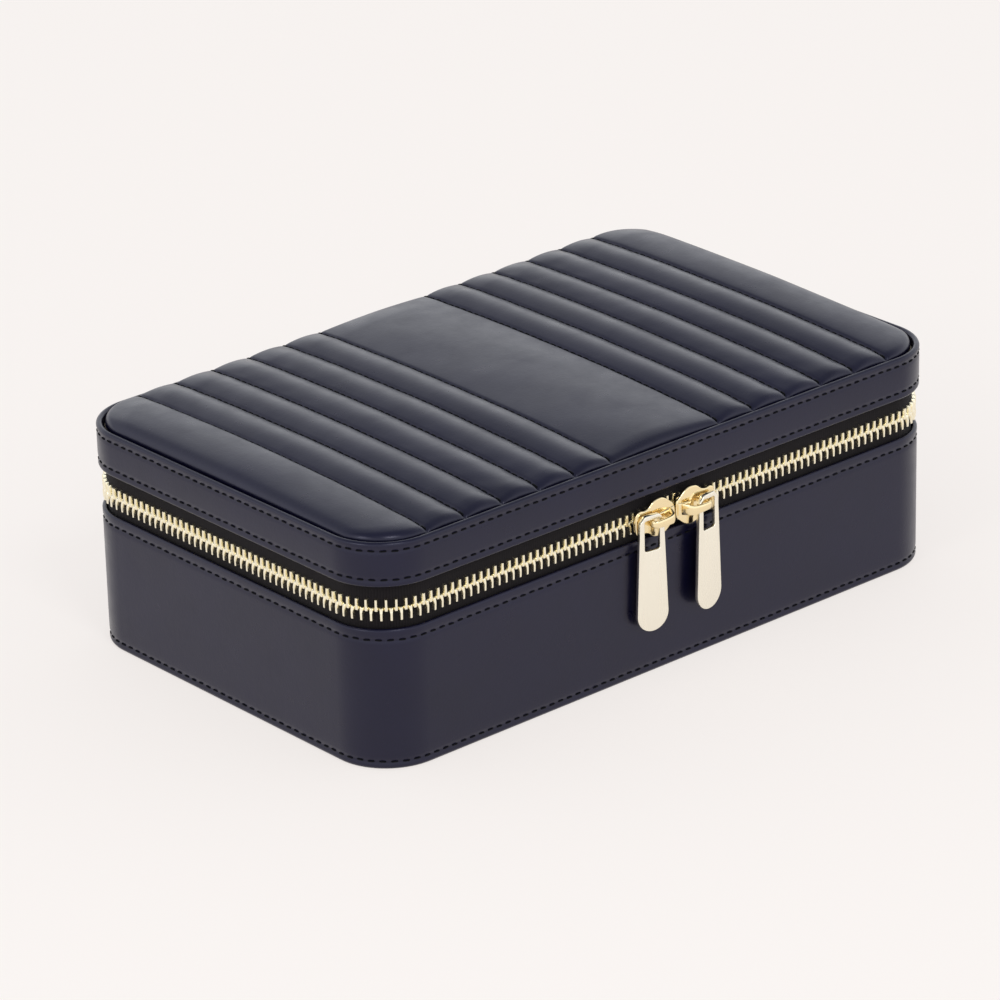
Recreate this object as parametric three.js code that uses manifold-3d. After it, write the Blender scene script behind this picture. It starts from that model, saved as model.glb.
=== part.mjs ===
// Zip-round leather jewellery case: a stiff base and a quilted lid, hinged at the back by a band
// of leather and closed round the other sides by a metal zip with two sliders.
// Millimetres. The origin is under the middle of the base, +X runs along the case, the zip pulls
// hang on the -Y side and +Z is up.

import * as THREE from "three";
import { mergeVertices } from "three/addons/utils/BufferGeometryUtils.js";
import Module from "manifold-3d";

// The case
const LENGTH = 220;
const DEPTH = 135;
const CORNER_RADIUS = 18;
const CORNER_STEPS = 6;
const BASE_HEIGHT = 42.6;
const ZIP_OPENING = 12.9;
const LID_WALL_HEIGHT = 11.1;
const CLEARANCE = 0.3;

// Materials it is cut from
const LEATHER = 1.5;
const BOARD = 2;
const WALL_BOARD = 3.9;
const LINING = 1;
const CEILING_LINING = 0.8;
const PIPING_RADIUS = 0.9;
const PIPING_SET_IN = 0.1;
const PAD_EDGE = 1.1;
const PAD_CROWN = 5;
const PAD_SHOULDER = 4;
const PAD_CROWN_START = 16.2;
const COLLAR_OVER_CHAIN = 2.2;
const LID_BOARD_PROUD = 0.1;

// The zip: two rows of teeth on woven tape
const CHAIN_RISE = 5.7;
const CHAIN_WIDTH = 6.2;
const CHAIN_THICKNESS = 3;
const CHAIN_INSET = 0.3;
const ROW_GAP = 1;
const TAPE = 0.7;
const TAPE_TUCK = 6.2;
const ZIP_END = 80;
const STOP_LENGTH = 3;

// Sliders and pulls
const SLIDER_LENGTH = 15;
const SLIDER_PLATE = 1.2;
const SLIDER_SHOULDER = 5.7;
const SLIDER_NARROW = 3.7;
const SLIDER_NOSE = 2.4;
const SLIDER_RUNNING_GAP = 0.6;
const SLIDER_SPACING = 0.6;
const SLIDER_CHAMFER = 0.8;
const SLIDER_WAIST = 3.75;
const SLIDER_SHOULDER_END = 3;
const SLIDER_NOSE_START = 6.4;
const POST_SETBACK = 2;
const POST_LENGTH = 3;
const POST_WIDTH = 0.4;
const BRIDGE_SETBACK = 2.5;
const BRIDGE_WIDTH = 2;
const BRIDGE_THICKNESS = 1.1;
const BRIDGE_FOOT = 3.2;
const PULL_LENGTH = 36;
const PULL_WIDTH = 10.7;
const PULL_NECK = 8.3;
const PULL_THICKNESS = 1.4;
const PULL_BAR = 1.5;
const PULL_HEAD = 2.6;
const PULL_HEAD_HALF = 2.3;
const PULL_PLAY = 0.25;
const PULL_WINDOW_WIDTH = 5.2;
const PULL_WINDOW_LENGTH = 9.4;
const PULL_WINDOW_CHAMFER = 1;
const PULL_YAW = THREE.MathUtils.degToRad(8);

// Fittings inside
const ROLL_COUNT = 7;
const ROLL_WIDTH = 10.8;
const ROLL_HEIGHT = 20.8;
const DIVIDER = 2.4;
const DIVIDER_HEIGHT = 26;
const LONG_DIVIDER_Y = 4;
const BACK_DIVIDER_X = 34;
const RIGHT_DIVIDER_X = 42;
const MIRROR = 1.2;
const MIRROR_SIDE_MARGIN = 5.7;
const MIRROR_END_MARGIN = 7.2;
const MIRROR_FROM_MIDDLE = 0.7;
const FRAME_WIDTH = 4;
const POCKET_MARGIN = 10;
const POCKET_FROM_MIDDLE = 5;
const POCKET_HEIGHT = 44;
const POCKET_DEPTH = 7.4;
const POCKET_WALL = 0.8;
const HOOK_COUNT = 3;
const HOOK_SPACING = 26;
const HOOK_WIDTH = 4;
const HOOK_REACH = 6;
const HOOK_THICKNESS = 1.4;
const HOOK_Y = -36;

// Levels and insets that follow from them. An inset is measured inwards from the outer face.
const LID_BOTTOM = BASE_HEIGHT + ZIP_OPENING;
const LID_WALL_TOP = LID_BOTTOM + LID_WALL_HEIGHT;
const CHAIN_Z = BASE_HEIGHT + CHAIN_RISE;
const CHAIN_BOTTOM = CHAIN_Z - CHAIN_WIDTH / 2;
const CHAIN_TOP = CHAIN_Z + CHAIN_WIDTH / 2;
const INNER_FACE = LEATHER + CLEARANCE;
const LINING_INSET = INNER_FACE + WALL_BOARD + CLEARANCE;
const CAVITY_INSET = LINING_INSET + LINING;
const BOARD_BOTTOM = LEATHER + CLEARANCE;
const FLOOR_LINING_BOTTOM = BOARD_BOTTOM + BOARD + CLEARANCE;
const FLOOR = FLOOR_LINING_BOTTOM + LINING;
const FITTING_BOTTOM = FLOOR + CLEARANCE;
const LOWER_TAPE_BOTTOM = BASE_HEIGHT - TAPE_TUCK;
const UPPER_TAPE_TOP = LID_BOTTOM + TAPE_TUCK;
const COLLAR_TOP = CHAIN_Z + COLLAR_OVER_CHAIN;
const LID_BOARD_TOP = LID_WALL_TOP + LID_BOARD_PROUD;
const LID_BOARD_BOTTOM = LID_BOARD_TOP - BOARD;
const CEILING_TOP = LID_BOARD_BOTTOM - CLEARANCE;
const CEILING = CEILING_TOP - CEILING_LINING;
const PAD_BOTTOM = LID_BOARD_TOP + CLEARANCE;
const CAVITY_HALF_LENGTH = LENGTH / 2 - CAVITY_INSET;
const CAVITY_HALF_DEPTH = DEPTH / 2 - CAVITY_INSET;

// How far two volumes of one piece run into each other where they are joined or cut
const SINK = 0.5;

const wasm = await Module();
wasm.setup();
const jewelleryCase = new THREE.Group();

// Finishes
const LEATHER_FINISH = { color: 0x2a2b38, roughness: 0.42, metalness: 0 };
const BOARD_FINISH = { color: 0x8f887c, roughness: 0.9, metalness: 0 };
const SUEDE_FINISH = { color: 0xb9b3ae, roughness: 0.95, metalness: 0 };
const TAPE_FINISH = { color: 0x1c1719, roughness: 0.85, metalness: 0 };
const TEETH_FINISH = { color: 0xe3cd9a, roughness: 0.28, metalness: 1 };
const SLIDER_FINISH = { color: 0xe6c88a, roughness: 0.15, metalness: 1 };
const PULL_FINISH = { color: 0xe8dfcf, roughness: 0.35, metalness: 1 };
const MIRROR_FINISH = { color: 0xdfe3e6, roughness: 0.03, metalness: 1 };

function addPiece(name, geometry, finish, place = {}) {
  const mesh = new THREE.Mesh(geometry, new THREE.MeshStandardMaterial(finish));
  mesh.name = name;
  mesh.position.set(place.x ?? 0, place.y ?? 0, place.z ?? 0);
  mesh.rotation.set(0, place.turnY ?? 0, place.turnZ ?? 0);
  jewelleryCase.add(mesh);
}

// A closed geometry as a solid that can be cut or joined, and back again.
function toSolid(geometry) {
  const bare = geometry.clone();
  bare.deleteAttribute("normal");
  bare.deleteAttribute("uv");
  const merged = mergeVertices(bare, 1e-4);
  return new wasm.Manifold(
    new wasm.Mesh({
      numProp: 3,
      vertProperties: merged.attributes.position.array,
      triVerts: new Uint32Array(merged.index.array),
    }),
  );
}

function toGeometry(solid) {
  const { vertProperties, triVerts } = solid.getMesh();
  const geometry = new THREE.BufferGeometry();
  geometry.setAttribute("position", new THREE.BufferAttribute(vertProperties, 3));
  geometry.setIndex(new THREE.BufferAttribute(triVerts, 1));
  return geometry;
}

function meshFrom(positions, indices) {
  const geometry = new THREE.BufferGeometry();
  geometry.setAttribute("position", new THREE.Float32BufferAttribute(positions, 3));
  geometry.setIndex(indices);
  return geometry;
}

function box(fromX, toX, fromY, toY, fromZ, toZ) {
  const geometry = new THREE.BoxGeometry(toX - fromX, toY - fromY, toZ - fromZ);
  return geometry.translate((fromX + toX) / 2, (fromY + toY) / 2, (fromZ + toZ) / 2);
}

// The case's rounded outline as stations, anticlockwise from the back left corner. A point at some
// inset lies at the station's centre plus its direction times (CORNER_RADIUS - inset).
function outlineStations() {
  const cornerX = LENGTH / 2 - CORNER_RADIUS;
  const cornerY = DEPTH / 2 - CORNER_RADIUS;
  const corners = [[-cornerX, cornerY], [-cornerX, -cornerY], [cornerX, -cornerY], [cornerX, cornerY]];
  const stations = [];
  corners.forEach(([x, y], corner) => {
    for (let step = 0; step <= CORNER_STEPS; step++) {
      const angle = (Math.PI / 2) * (1 + corner + step / CORNER_STEPS);
      stations.push({ x, y, nx: Math.cos(angle), ny: Math.sin(angle) });
    }
  });
  return stations;
}

// The zip's open path: from its end on the back left, round the case, to its end on the back right.
function zipStations() {
  const y = DEPTH / 2 - CORNER_RADIUS;
  const first = { x: -ZIP_END, y, nx: 0, ny: 1 };
  const last = { x: ZIP_END, y, nx: 0, ny: 1 };
  return [first, ...outlineStations(), last];
}

function pointAt(station, inset, z) {
  const reach = CORNER_RADIUS - inset;
  return [station.x + station.nx * reach, station.y + station.ny * reach, z];
}

// A section of [inset, z] points carried along the stations, either round to its start or with
// flat ends.
function band(section, stations = outlineStations(), closed = true) {
  const contour = section.map(([inset, z]) => new THREE.Vector2(-inset, z));
  if (THREE.ShapeUtils.isClockWise(contour)) contour.reverse();
  const count = contour.length;
  const positions = stations.flatMap((s) => contour.flatMap((p) => pointAt(s, -p.x, p.y)));
  const indices = [];
  const spans = closed ? stations.length : stations.length - 1;
  for (let i = 0; i < spans; i++) {
    const here = i * count;
    const next = ((i + 1) % stations.length) * count;
    for (let j = 0; j < count; j++) {
      const k = (j + 1) % count;
      indices.push(here + j, next + j, next + k, here + j, next + k, here + k);
    }
  }
  if (!closed) {
    const last = (stations.length - 1) * count;
    for (const [a, b, c] of THREE.ShapeUtils.triangulateShape(contour, [])) {
      indices.push(a, b, c, last + a, last + c, last + b);
    }
  }
  return meshFrom(positions, indices);
}

function wall(outerInset, innerInset, fromZ, toZ) {
  return band([[outerInset, fromZ], [innerInset, fromZ], [innerInset, toZ], [outerInset, toZ]]);
}

function strip(outerInset, innerInset, fromZ, toZ) {
  const section = [[outerInset, fromZ], [innerInset, fromZ], [innerInset, toZ], [outerInset, toZ]];
  return band(section, zipStations(), false);
}

// Outlines at [inset, z] levels stacked from the bottom up and closed at both ends.
function slab(levels) {
  const stations = outlineStations();
  const count = stations.length;
  const positions = levels.flatMap(([inset, z]) => stations.flatMap((s) => pointAt(s, inset, z)));
  const indices = [];
  for (let level = 0; level < levels.length - 1; level++) {
    for (let i = 0; i < count; i++) {
      const k = (i + 1) % count;
      const low = level * count;
      const high = low + count;
      indices.push(low + i, low + k, high + k, low + i, high + k, high + i);
    }
  }
  const top = (levels.length - 1) * count;
  for (let i = 1; i < count - 1; i++) indices.push(0, i + 1, i, top, top + i, top + i + 1);
  return meshFrom(positions, indices);
}

// A shape drawn in X and Z, made solid between two distances towards the front (-Y).
function frontward(shape, from, to, curveSegments = 6) {
  const settings = { depth: to - from, bevelEnabled: false, curveSegments };
  return new THREE.ExtrudeGeometry(shape, settings).translate(0, 0, from).rotateX(Math.PI / 2);
}

// Base: leather over board, lined with suede that rises inside the zip as a collar.
function makeBase() {
  const underTape = LOWER_TAPE_BOTTOM - CLEARANCE;
  addPiece("base_bottom_leather", slab([[INNER_FACE, 0], [INNER_FACE, LEATHER]]), LEATHER_FINISH);
  addPiece("base_wall_leather", wall(0, LEATHER, CLEARANCE, BASE_HEIGHT), LEATHER_FINISH);
  const floorTop = BOARD_BOTTOM + BOARD;
  addPiece("base_floor_board", slab([[INNER_FACE, BOARD_BOTTOM], [INNER_FACE, floorTop]]), BOARD_FINISH);
  const wallBoard = wall(INNER_FACE, INNER_FACE + WALL_BOARD, FLOOR_LINING_BOTTOM, underTape);
  addPiece("base_wall_board", wallBoard, BOARD_FINISH);
  const floorLining = slab([[LINING_INSET, FLOOR_LINING_BOTTOM], [LINING_INSET, FLOOR]]);
  addPiece("base_floor_lining", floorLining, SUEDE_FINISH);
  const wallLining = wall(LINING_INSET, CAVITY_INSET, FITTING_BOTTOM, COLLAR_TOP);
  addPiece("base_wall_lining", wallLining, SUEDE_FINISH);
}

// Foam rolls covered in suede, side by side at the front left; rings are pushed between them.
function makeRingRolls() {
  const half = ROLL_WIDTH / 2;
  const backY = LONG_DIVIDER_Y - DIVIDER / 2 - CLEARANCE;
  const frontY = -CAVITY_HALF_DEPTH + CLEARANCE;
  const section = new THREE.Shape();
  section.moveTo(-half, 0);
  section.lineTo(half, 0);
  section.lineTo(half, ROLL_HEIGHT - half);
  section.absarc(0, ROLL_HEIGHT - half, half, 0, Math.PI, false);
  const cavity = toSolid(slab([[CAVITY_INSET + CLEARANCE, 0], [CAVITY_INSET + CLEARANCE, LID_BOTTOM]]));
  for (let i = 0; i < ROLL_COUNT; i++) {
    const x = rollStart() + half + i * (ROLL_WIDTH + CLEARANCE);
    const roll = frontward(section, -backY, -frontY, 4).translate(x, 0, FITTING_BOTTOM);
    addPiece("ring_roll_" + (i + 1), toGeometry(toSolid(roll).intersect(cavity)), SUEDE_FINISH);
  }
}

function rollStart() {
  return -CAVITY_HALF_LENGTH + CLEARANCE;
}

// Suede-covered card walls that stand on the floor and make the compartments.
function makeDividers() {
  const half = DIVIDER / 2;
  const top = FITTING_BOTTOM + DIVIDER_HEIGHT;
  const endX = CAVITY_HALF_LENGTH - CLEARANCE;
  const endY = CAVITY_HALF_DEPTH - CLEARANCE;
  const backFace = LONG_DIVIDER_Y + half + CLEARANCE;
  const frontFace = LONG_DIVIDER_Y - half - CLEARANCE;
  const long = box(-endX, endX, LONG_DIVIDER_Y - half, LONG_DIVIDER_Y + half, FITTING_BOTTOM, top);
  addPiece("long_divider", long, SUEDE_FINISH);
  const across = (x, fromY, toY) => box(x - half, x + half, fromY, toY, FITTING_BOTTOM, top);
  const afterRolls = rollStart() + ROLL_COUNT * (ROLL_WIDTH + CLEARANCE) + half;
  addPiece("back_divider_left", across(-BACK_DIVIDER_X, backFace, endY), SUEDE_FINISH);
  addPiece("back_divider_right", across(BACK_DIVIDER_X, backFace, endY), SUEDE_FINISH);
  addPiece("front_divider_left", across(afterRolls, -endY, frontFace), SUEDE_FINISH);
  addPiece("front_divider_right", across(RIGHT_DIVIDER_X, -endY, frontFace), SUEDE_FINISH);
}

// Lid: leather wall and piping round a board that carries the quilted pad, lined below.
function makeLid() {
  addPiece("lid_wall_leather", wall(0, LEATHER, LID_BOTTOM, LID_WALL_TOP), LEATHER_FINISH);
  const pipingZ = LID_WALL_TOP + CLEARANCE + PIPING_RADIUS;
  const pipingInset = PIPING_RADIUS + PIPING_SET_IN;
  const round = Array.from({ length: 8 }, (_, i) => {
    const angle = (Math.PI / 4) * (i + 0.5);
    return [pipingInset + PIPING_RADIUS * Math.cos(angle), pipingZ + PIPING_RADIUS * Math.sin(angle)];
  });
  addPiece("lid_piping", band(round), LEATHER_FINISH);
  const padInset = pipingInset + PIPING_RADIUS + CLEARANCE;
  const pad = slab([
    [padInset, PAD_BOTTOM],
    [padInset, PAD_BOTTOM + PAD_EDGE],
    [padInset + PAD_SHOULDER, PAD_BOTTOM + (PAD_EDGE + PAD_CROWN) / 2],
    [PAD_CROWN_START, PAD_BOTTOM + PAD_CROWN],
  ]);
  addPiece("lid_quilted_pad", pad, LEATHER_FINISH);
  const topBoard = slab([[INNER_FACE, LID_BOARD_BOTTOM], [INNER_FACE, LID_BOARD_TOP]]);
  addPiece("lid_top_board", topBoard, BOARD_FINISH);
  const wallBoard = wall(INNER_FACE, INNER_FACE + WALL_BOARD, UPPER_TAPE_TOP + CLEARANCE, CEILING_TOP);
  addPiece("lid_wall_board", wallBoard, BOARD_FINISH);
  addPiece("lid_ceiling_lining", slab([[LINING_INSET, CEILING], [LINING_INSET, CEILING_TOP]]), SUEDE_FINISH);
  const wallLining = wall(LINING_INSET, CAVITY_INSET, COLLAR_TOP + 2 * CLEARANCE, CEILING - CLEARANCE);
  addPiece("lid_wall_lining", wallLining, SUEDE_FINISH);
}

// Mirror and its suede-covered frame, on the left of the lid's ceiling.
function makeMirror() {
  const back = CEILING - CLEARANCE;
  const front = back - MIRROR;
  const left = -CAVITY_HALF_LENGTH + MIRROR_SIDE_MARGIN;
  const right = -MIRROR_FROM_MIDDLE;
  const halfY = CAVITY_HALF_DEPTH - MIRROR_END_MARGIN;
  const panel = (inset, from, to) => box(left + inset, right - inset, -halfY + inset, halfY - inset, from, to);
  addPiece("lid_mirror", panel(FRAME_WIDTH + CLEARANCE, front, back), MIRROR_FINISH);
  const hole = toSolid(panel(FRAME_WIDTH, front - SINK, back + SINK));
  const frame = toSolid(panel(0, front, back)).subtract(hole);
  addPiece("mirror_frame", toGeometry(frame), SUEDE_FINISH);
}

// Hooks near the lid's front edge and a pocket towards the hinge that catches the chains.
function makeNecklaceKeeper() {
  const back = CEILING - CLEARANCE;
  const left = POCKET_FROM_MIDDLE;
  const right = CAVITY_HALF_LENGTH - POCKET_MARGIN;
  for (let i = 0; i < HOOK_COUNT; i++) {
    const x = (left + right) / 2 + (i - (HOOK_COUNT - 1) / 2) * HOOK_SPACING - HOOK_WIDTH / 2;
    const stem = box(x, x + HOOK_WIDTH, HOOK_Y - HOOK_THICKNESS, HOOK_Y, back - HOOK_REACH, back);
    const tip = box(x, x + HOOK_WIDTH, HOOK_Y - HOOK_REACH, HOOK_Y, back - HOOK_REACH,
      back - HOOK_REACH + HOOK_THICKNESS);
    const hook = toSolid(stem).add(toSolid(tip));
    addPiece("necklace_hook_" + (i + 1), toGeometry(hook), SLIDER_FINISH);
  }
  const bottomY = CAVITY_HALF_DEPTH - CLEARANCE - FRAME_WIDTH;
  const mouthY = bottomY - POCKET_HEIGHT;
  const front = back - POCKET_DEPTH;
  const outside = toSolid(box(left, right, mouthY, bottomY, front, back));
  const inside = toSolid(box(left + POCKET_WALL, right - POCKET_WALL, mouthY - SINK, bottomY - POCKET_WALL,
    front + POCKET_WALL, back + SINK));
  addPiece("necklace_pocket", toGeometry(outside.subtract(inside)), SUEDE_FINISH);
}

// The two halves of the zip: tape tucked behind the leather, and a row of teeth along its edge.
function makeZip() {
  const outer = CHAIN_INSET;
  const inner = CHAIN_INSET + CHAIN_THICKNESS;
  const lowerTop = CHAIN_Z - ROW_GAP / 2;
  const upperBottom = CHAIN_Z + ROW_GAP / 2;
  const tapeInner = INNER_FACE + TAPE;
  const lowerTape = strip(INNER_FACE, tapeInner, LOWER_TAPE_BOTTOM, CHAIN_BOTTOM - CLEARANCE);
  const upperTape = strip(INNER_FACE, tapeInner, CHAIN_TOP + CLEARANCE, UPPER_TAPE_TOP);
  addPiece("zip_tape_lower", lowerTape, TAPE_FINISH);
  addPiece("zip_tape_upper", upperTape, TAPE_FINISH);
  addPiece("zip_teeth_lower", strip(outer, inner, CHAIN_BOTTOM, lowerTop), TEETH_FINISH);
  addPiece("zip_teeth_upper", strip(outer, inner, upperBottom, CHAIN_TOP), TEETH_FINISH);
  const far = DEPTH / 2 - outer;
  const near = DEPTH / 2 - inner;
  for (const [side, sign] of [["left", -1], ["right", 1]]) {
    const [a, b] = [sign * (ZIP_END - CLEARANCE), sign * (ZIP_END - CLEARANCE - STOP_LENGTH)];
    const [from, to] = [Math.min(a, b), Math.max(a, b)];
    addPiece("zip_stop_lower_" + side, box(from, to, near, far, CHAIN_BOTTOM, lowerTop), TEETH_FINISH);
    addPiece("zip_stop_upper_" + side, box(from, to, near, far, upperBottom, CHAIN_TOP), TEETH_FINISH);
  }
}

// Hinge: a leather band outside and a suede band inside, between the two ends of the zip.
function makeHinge() {
  const reach = ZIP_END - 2 * CLEARANCE - STOP_LENGTH;
  const outerY = DEPTH / 2 - INNER_FACE;
  const innerY = DEPTH / 2 - LINING_INSET + CLEARANCE;
  const leather = box(-reach, reach, outerY - LEATHER, outerY, LOWER_TAPE_BOTTOM, UPPER_TAPE_TOP);
  const suede = box(-reach, reach, innerY, innerY + CEILING_LINING, LOWER_TAPE_BOTTOM, UPPER_TAPE_TOP);
  addPiece("hinge_leather", leather, LEATHER_FINISH);
  addPiece("hinge_lining", suede, SUEDE_FINISH);
}

// A slider's plate outline, mouth towards +X.
function sliderOutline() {
  const half = SLIDER_LENGTH / 2;
  const points = [
    [-half, SLIDER_NARROW - SLIDER_CHAMFER],
    [-half + SLIDER_CHAMFER, SLIDER_NARROW],
    [-SLIDER_WAIST, SLIDER_NARROW],
    [0, SLIDER_SHOULDER],
    [SLIDER_SHOULDER_END, SLIDER_SHOULDER],
    [SLIDER_NOSE_START, SLIDER_NOSE + 1],
    [half, SLIDER_NOSE - 1],
  ];
  const mirrored = points.map(([x, z]) => [x, -z]).reverse();
  return new THREE.Shape([...points, ...mirrored].map(([x, z]) => new THREE.Vector2(x, z)));
}

// Distances in front of the wall's outer face, for the pull between the plate and the bridge.
const PLATE_BACK = CLEARANCE;
const PLATE_FRONT = PLATE_BACK + SLIDER_PLATE;
const PULL_SWAY = (PULL_NECK / 2) * Math.sin(PULL_YAW);
const PULL_MIDDLE = PLATE_FRONT + CLEARANCE + PULL_SWAY + PULL_THICKNESS / 2;
const BRIDGE_UNDERSIDE = PULL_MIDDLE + PULL_SWAY + PULL_THICKNESS / 2 + CLEARANCE;
const BRIDGE_TOP = BRIDGE_UNDERSIDE + BRIDGE_THICKNESS;

// Slider: front and back plates joined by a thin post that runs between the rows of teeth, and a
// bridge whose outer foot stands in the pull's window.
function sliderSolid() {
  const backFrom = CHAIN_INSET + CHAIN_THICKNESS + SLIDER_RUNNING_GAP;
  const front = toSolid(frontward(sliderOutline(), PLATE_BACK, PLATE_FRONT));
  const back = toSolid(frontward(sliderOutline(), -backFrom - SLIDER_PLATE, -backFrom));
  const mouth = SLIDER_LENGTH / 2;
  const postEnd = mouth - POST_SETBACK;
  const post = toSolid(box(postEnd - POST_LENGTH, postEnd, -PLATE_BACK - SINK, backFrom + SINK,
    -POST_WIDTH / 2, POST_WIDTH / 2));
  const width = BRIDGE_WIDTH / 2;
  const innerFoot = -BRIDGE_FOOT + PULL_NECK / 2 + 2 * CLEARANCE;
  const bridgeEnd = mouth - BRIDGE_SETBACK;
  const arch = toSolid(box(-BRIDGE_FOOT - width, bridgeEnd, -BRIDGE_TOP, -BRIDGE_UNDERSIDE, -width, width));
  const inner = toSolid(box(innerFoot, bridgeEnd, -BRIDGE_UNDERSIDE - SINK, -PLATE_FRONT + SINK,
    -width, width));
  const footLength = BRIDGE_UNDERSIDE - PLATE_FRONT + 2 * SINK;
  const foot = new THREE.CylinderGeometry(width, width, footLength, 12);
  foot.translate(-BRIDGE_FOOT, -(BRIDGE_UNDERSIDE + PLATE_FRONT) / 2, 0);
  return front.add(back).add(post).add(arch).add(inner).add(toSolid(foot));
}

// Pull: a flat paddle, widest near its round end, with a window that the bridge's foot stands in.
// Its origin is the foot's axis.
function pullGeometry() {
  const windowTop = BRIDGE_WIDTH / 2 + PULL_PLAY;
  const top = windowTop + PULL_BAR;
  const bottom = top - PULL_LENGTH;
  const neck = PULL_NECK / 2;
  const half = PULL_WIDTH / 2;
  const shape = new THREE.Shape();
  shape.moveTo(-PULL_HEAD_HALF, top);
  shape.lineTo(-neck, top - PULL_HEAD);
  shape.lineTo(-half, bottom + half);
  shape.absarc(0, bottom + half, half, Math.PI, 2 * Math.PI, false);
  shape.lineTo(neck, top - PULL_HEAD);
  shape.lineTo(PULL_HEAD_HALF, top);
  const sideX = PULL_WINDOW_WIDTH / 2;
  const window = new THREE.Path();
  window.moveTo(-sideX, windowTop - PULL_WINDOW_LENGTH);
  window.lineTo(-sideX, windowTop - PULL_WINDOW_CHAMFER);
  window.lineTo(-sideX + PULL_WINDOW_CHAMFER, windowTop);
  window.lineTo(sideX - PULL_WINDOW_CHAMFER, windowTop);
  window.lineTo(sideX, windowTop - PULL_WINDOW_CHAMFER);
  window.lineTo(sideX, windowTop - PULL_WINDOW_LENGTH);
  shape.holes.push(window);
  return frontward(shape, -PULL_THICKNESS / 2, PULL_THICKNESS / 2);
}

function makeSlidersAndPulls() {
  const slider = toGeometry(sliderSolid());
  const pull = pullGeometry();
  const y = -DEPTH / 2;
  const sliderX = (SLIDER_LENGTH + SLIDER_SPACING) / 2;
  const pullX = sliderX + BRIDGE_FOOT;
  for (const [side, sign] of [["left", -1], ["right", 1]]) {
    const turnY = sign > 0 ? Math.PI : 0;
    addPiece("slider_" + side, slider, SLIDER_FINISH, { x: sign * sliderX, y, z: CHAIN_Z, turnY });
    const place = { x: sign * pullX, y: y - PULL_MIDDLE, z: CHAIN_Z, turnZ: sign * PULL_YAW };
    addPiece("pull_" + side, pull, PULL_FINISH, place);
  }
}

makeBase();
makeRingRolls();
makeDividers();
makeLid();
makeMirror();
makeNecklaceKeeper();
makeZip();
makeHinge();
makeSlidersAndPulls();

export default jewelleryCase;
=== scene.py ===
import bmesh
import bpy
import numpy as np
from mathutils import Matrix, Vector


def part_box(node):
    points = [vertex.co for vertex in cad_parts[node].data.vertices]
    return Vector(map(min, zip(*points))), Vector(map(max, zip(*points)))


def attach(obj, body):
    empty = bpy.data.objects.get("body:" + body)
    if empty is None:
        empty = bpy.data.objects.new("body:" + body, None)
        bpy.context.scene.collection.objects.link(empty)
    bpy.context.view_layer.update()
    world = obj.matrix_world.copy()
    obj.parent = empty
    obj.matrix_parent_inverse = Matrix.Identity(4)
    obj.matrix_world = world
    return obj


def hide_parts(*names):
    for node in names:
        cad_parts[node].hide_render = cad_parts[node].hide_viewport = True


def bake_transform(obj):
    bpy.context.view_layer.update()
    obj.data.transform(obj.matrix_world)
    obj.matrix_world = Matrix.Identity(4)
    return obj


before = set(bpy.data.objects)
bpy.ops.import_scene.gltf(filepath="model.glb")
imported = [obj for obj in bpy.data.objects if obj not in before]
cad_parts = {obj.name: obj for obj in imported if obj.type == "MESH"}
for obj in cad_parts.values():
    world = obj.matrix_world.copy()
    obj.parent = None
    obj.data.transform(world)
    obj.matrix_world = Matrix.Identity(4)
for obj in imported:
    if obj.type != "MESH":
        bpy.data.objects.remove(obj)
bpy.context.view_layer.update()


# The studio: one pale sweep of floor, lit a little from below as a light table is, an even soft
# room whose ceiling is darker than its walls, and two soft lamps that put sparkle on the metal.
floor_mesh = bpy.data.meshes.new("floor")
floor_mesh.from_pydata([(-40, -40, 0), (40, -40, 0), (40, 40, 0), (-40, 40, 0)], [], [(0, 1, 2, 3)])
floor = bpy.data.objects.new("floor", floor_mesh)
bpy.context.scene.collection.objects.link(floor)
floor_paint = bpy.data.materials.new("pale_floor")
floor_paint.use_nodes = True
floor_sockets = floor_paint.node_tree.nodes["Principled BSDF"].inputs
floor_sockets["Base Color"].default_value = (0.3, 0.29, 0.28, 1)
floor_sockets["Roughness"].default_value = 0.95
floor_sockets["Specular IOR Level"].default_value = 0.0
floor_sockets["Emission Color"].default_value = (0.985, 0.93, 0.895, 1)
floor_sockets["Emission Strength"].default_value = 0.70
floor_mesh.materials.append(floor_paint)

world = bpy.data.worlds.new("studio")
bpy.context.scene.world = world
world.use_nodes = True
air = world.node_tree
facing = air.nodes.new("ShaderNodeTexCoord")
height = air.nodes.new("ShaderNodeSeparateXYZ")
shades = air.nodes.new("ShaderNodeValToRGB")
shades.color_ramp.elements[0].position = 0.42
shades.color_ramp.elements[0].color = (0.96, 0.98, 1.0, 1)
shades.color_ramp.elements[1].position = 0.8
shades.color_ramp.elements[1].color = (0.36, 0.38, 0.42, 1)
air.links.new(facing.outputs["Generated"], height.inputs["Vector"])
air.links.new(height.outputs["Z"], shades.inputs["Fac"])
air.links.new(shades.outputs["Color"], air.nodes["Background"].inputs["Color"])
air.nodes["Background"].inputs["Strength"].default_value = 1.25


def softbox(name, place, aim, size, watts):
    """A square area light at place, turned so that its beam points at aim."""
    lamp = bpy.data.lights.new(name, "AREA")
    lamp.size = size
    lamp.energy = watts
    holder = bpy.data.objects.new(name, lamp)
    bpy.context.scene.collection.objects.link(holder)
    holder.location = place
    holder.rotation_euler = (Vector(aim) - Vector(place)).to_track_quat("-Z", "Y").to_euler()


softbox("key", (-0.35, -1.0, 1.2), (0, 0, 0.04), 0.35, 3.2)
softbox("left_lamp", (-1.3, -0.2, 0.8), (0, 0, 0.03), 0.4, 2.0)

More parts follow.
